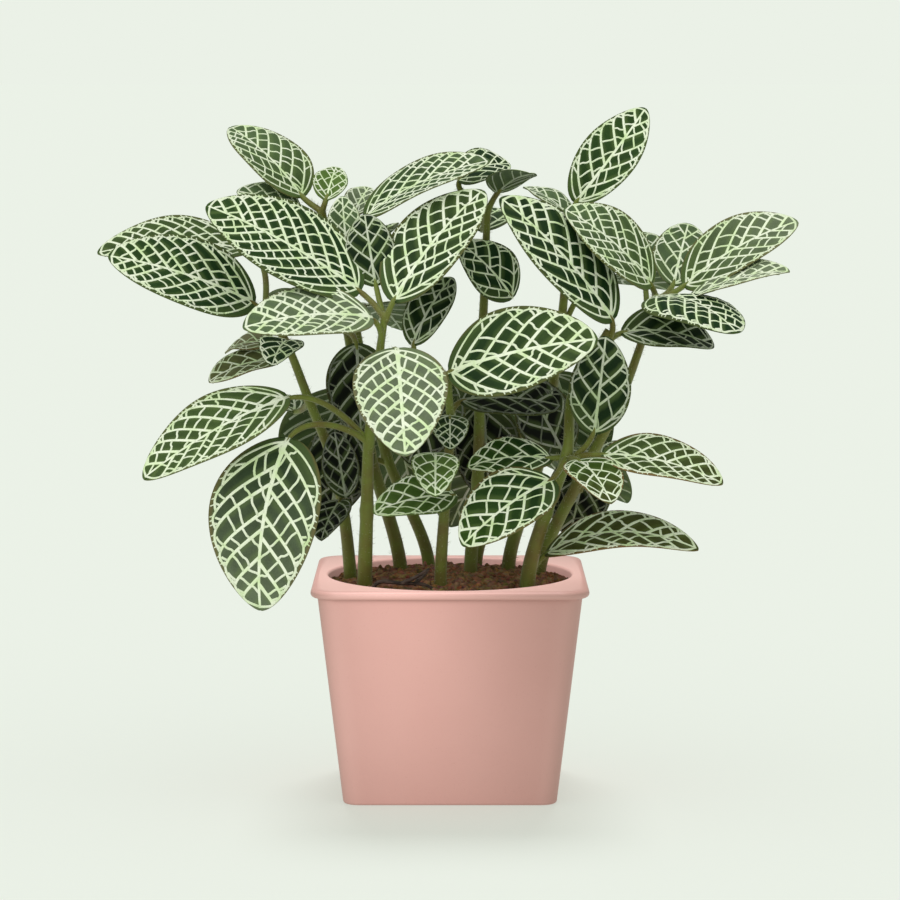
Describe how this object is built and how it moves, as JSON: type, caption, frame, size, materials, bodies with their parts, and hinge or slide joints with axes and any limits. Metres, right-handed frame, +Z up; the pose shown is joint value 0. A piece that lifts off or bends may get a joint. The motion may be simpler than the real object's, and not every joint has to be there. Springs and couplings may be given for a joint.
{
  "type": "potted nerve plant",
  "caption": "Bushy nerve plant with oval, net-veined green leaves on upright stems, rooted in soil in a square tapered pot with an overhanging rim and a round mouth.",
  "frame": {"origin": "middle of the pot's foot, on the surface it stands on", "axes": "+Z up, the front of the plant towards -Y, +X to its right as seen from the front"},
  "size_m": [0.2994, 0.1884, 0.2904],
  "materials": {
    "pot": "matte pink ceramic",
    "soil": "dark crumbly compost",
    "runner": "dry dead shoot",
    "leaf": "living green leaf and stem tissue with a pale vein net",
    "vein": "pale cream-green veins on the leaf blades",
    "stem": "olive green hairy stems and petioles"
  },
  "bodies": {
    "root": {"pot": "pot", "soil": "soil", "dry_runner": "runner", "stem_front_left": "leaf", "stem_front_middle": "leaf", "stem_front_right": "leaf", "stem_left": "leaf", "stem_back_left": "leaf", "stem_middle": "leaf", "stem_right": "leaf", "stem_back_right": "leaf", "stem_rear_left": "leaf", "stem_rear_right": "leaf"}
  },
  "joints": []
}
